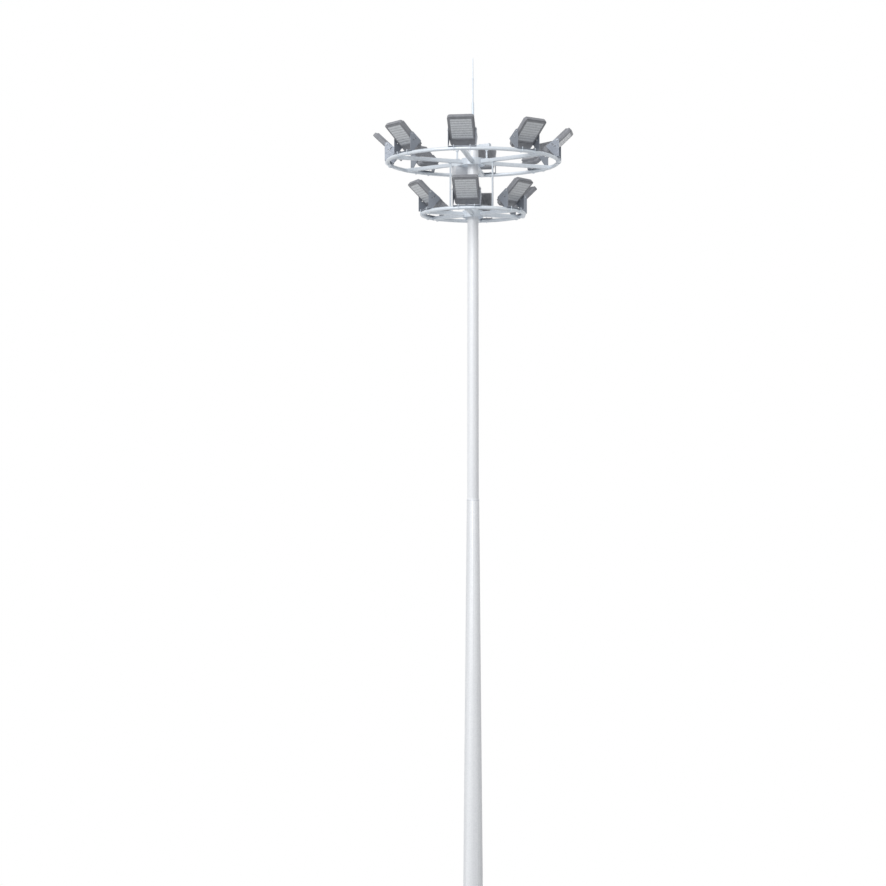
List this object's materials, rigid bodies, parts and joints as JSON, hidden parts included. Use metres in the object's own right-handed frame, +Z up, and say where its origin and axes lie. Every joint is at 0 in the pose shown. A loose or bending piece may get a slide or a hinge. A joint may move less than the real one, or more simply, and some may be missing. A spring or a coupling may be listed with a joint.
{
  "type": "high mast floodlight tower",
  "caption": "Tapered steel mast with a lightning rod and a two-tier hoisted ring carriage of outward-facing LED floodlights on tilting yokes.",
  "frame": {"origin": "centre of the base flange's underside, on the mast's axis", "axes": "+Z up along the mast; -Y through the first spoke, the first light of each ring and the service door"},
  "size_m": [3.2746, 3.2746, 15.57],
  "materials": {
    "mast_steel": "hot-dip galvanised, matt",
    "rod_steel": "galvanised",
    "carriage_steel": "hot-dip galvanised",
    "yoke_steel": "galvanised, dull",
    "box_grey": "light grey powder coat",
    "light_housing": "grey powder coat",
    "light_lens": "clear lens sheet over LED rows"
  },
  "bodies": {
    "mast": {"base_flange": "mast_steel", "base_gussets": "mast_steel", "mast_lower_section": "mast_steel", "mast_upper_section": "mast_steel", "mast_joint_ring": "mast_steel", "door_frame": "mast_steel", "service_door": "mast_steel", "head_plate": "mast_steel", "head_frame_arms": "mast_steel", "docking_cups": "mast_steel", "rod_sleeve": "rod_steel", "lightning_rod": "rod_steel"},
    "carriage": {"upper_ring": "carriage_steel", "lower_ring": "carriage_steel", "upper_spokes": "carriage_steel", "lower_spokes": "carriage_steel", "upper_hub": "carriage_steel", "lower_hub": "carriage_steel", "tie_rods": "carriage_steel", "docking_pins": "carriage_steel", "junction_box": "box_grey", "upper_yokes": "yoke_steel", "lower_yokes": "yoke_steel"},
    "upper_light_1": {"upper_light_1_housing": "light_housing", "upper_light_1_lens": "light_lens"},
    "upper_light_2": {"upper_light_2_housing": "light_housing", "upper_light_2_lens": "light_lens"},
    "upper_light_3": {"upper_light_3_housing": "light_housing", "upper_light_3_lens": "light_lens"},
    "upper_light_4": {"upper_light_4_housing": "light_housing", "upper_light_4_lens": "light_lens"},
    "upper_light_5": {"upper_light_5_housing": "light_housing", "upper_light_5_lens": "light_lens"},
    "upper_light_6": {"upper_light_6_housing": "light_housing", "upper_light_6_lens": "light_lens"},
    "upper_light_7": {"upper_light_7_housing": "light_housing", "upper_light_7_lens": "light_lens"},
    "upper_light_8": {"upper_light_8_housing": "light_housing", "upper_light_8_lens": "light_lens"},
    "lower_light_1": {"lower_light_1_housing": "light_housing", "lower_light_1_lens": "light_lens"},
    "lower_light_2": {"lower_light_2_housing": "light_housing", "lower_light_2_lens": "light_lens"},
    "lower_light_3": {"lower_light_3_housing": "light_housing", "lower_light_3_lens": "light_lens"},
    "lower_light_4": {"lower_light_4_housing": "light_housing", "lower_light_4_lens": "light_lens"},
    "lower_light_5": {"lower_light_5_housing": "light_housing", "lower_light_5_lens": "light_lens"},
    "lower_light_6": {"lower_light_6_housing": "light_housing", "lower_light_6_lens": "light_lens"}
  },
  "joints": [
    {"name": "hoist", "type": "slide", "parent": "mast", "child": "carriage", "axis": [0, 0, 1], "range_m": [-11, 0]},
    {"name": "upper_light_1_tilt", "type": "hinge", "parent": "carriage", "child": "upper_light_1", "pos_m": [0, -1.4, 14.14], "axis": [-1, 0, 0], "range_deg": [-25, 12]},
    {"name": "upper_light_2_tilt", "type": "hinge", "parent": "carriage", "child": "upper_light_2", "pos_m": [0.98995, -0.98995, 14.14], "axis": [-0.7071, -0.7071, 0], "range_deg": [-25, 12]},
    {"name": "upper_light_3_tilt", "type": "hinge", "parent": "carriage", "child": "upper_light_3", "pos_m": [1.4, 0, 14.14], "axis": [0, -1, 0], "range_deg": [-25, 12]},
    {"name": "upper_light_4_tilt", "type": "hinge", "parent": "carriage", "child": "upper_light_4", "pos_m": [0.98995, 0.98995, 14.14], "axis": [0.7071, -0.7071, 0], "range_deg": [-25, 12]},
    {"name": "upper_light_5_tilt", "type": "hinge", "parent": "carriage", "child": "upper_light_5", "pos_m": [0, 1.4, 14.14], "axis": [1, 0, 0], "range_deg": [-25, 12]},
    {"name": "upper_light_6_tilt", "type": "hinge", "parent": "carriage", "child": "upper_light_6", "pos_m": [-0.98995, 0.98995, 14.14], "axis": [0.7071, 0.7071, 0], "range_deg": [-25, 12]},
    {"name": "upper_light_7_tilt", "type": "hinge", "parent": "carriage", "child": "upper_light_7", "pos_m": [-1.4, 0, 14.14], "axis": [0, 1, 0], "range_deg": [-25, 12]},
    {"name": "upper_light_8_tilt", "type": "hinge", "parent": "carriage", "child": "upper_light_8", "pos_m": [-0.98995, -0.98995, 14.14], "axis": [-0.7071, 0.7071, 0], "range_deg": [-25, 12]},
    {"name": "lower_light_1_tilt", "type": "hinge", "parent": "carriage", "child": "lower_light_1", "pos_m": [0, -0.84, 13.285], "axis": [-1, 0, 0], "range_deg": [-25, 12]},
    {"name": "lower_light_2_tilt", "type": "hinge", "parent": "carriage", "child": "lower_light_2", "pos_m": [0.72746, -0.42, 13.285], "axis": [-0.5, -0.866, 0], "range_deg": [-25, 12]},
    {"name": "lower_light_3_tilt", "type": "hinge", "parent": "carriage", "child": "lower_light_3", "pos_m": [0.72746, 0.42, 13.285], "axis": [0.5, -0.866, 0], "range_deg": [-25, 12]},
    {"name": "lower_light_4_tilt", "type": "hinge", "parent": "carriage", "child": "lower_light_4", "pos_m": [0, 0.84, 13.285], "axis": [1, 0, 0], "range_deg": [-25, 12]},
    {"name": "lower_light_5_tilt", "type": "hinge", "parent": "carriage", "child": "lower_light_5", "pos_m": [-0.72746, 0.42, 13.285], "axis": [0.5, 0.866, 0], "range_deg": [-25, 12]},
    {"name": "lower_light_6_tilt", "type": "hinge", "parent": "carriage", "child": "lower_light_6", "pos_m": [-0.72746, -0.42, 13.285], "axis": [-0.5, 0.866, 0], "range_deg": [-25, 12]}
  ]
}
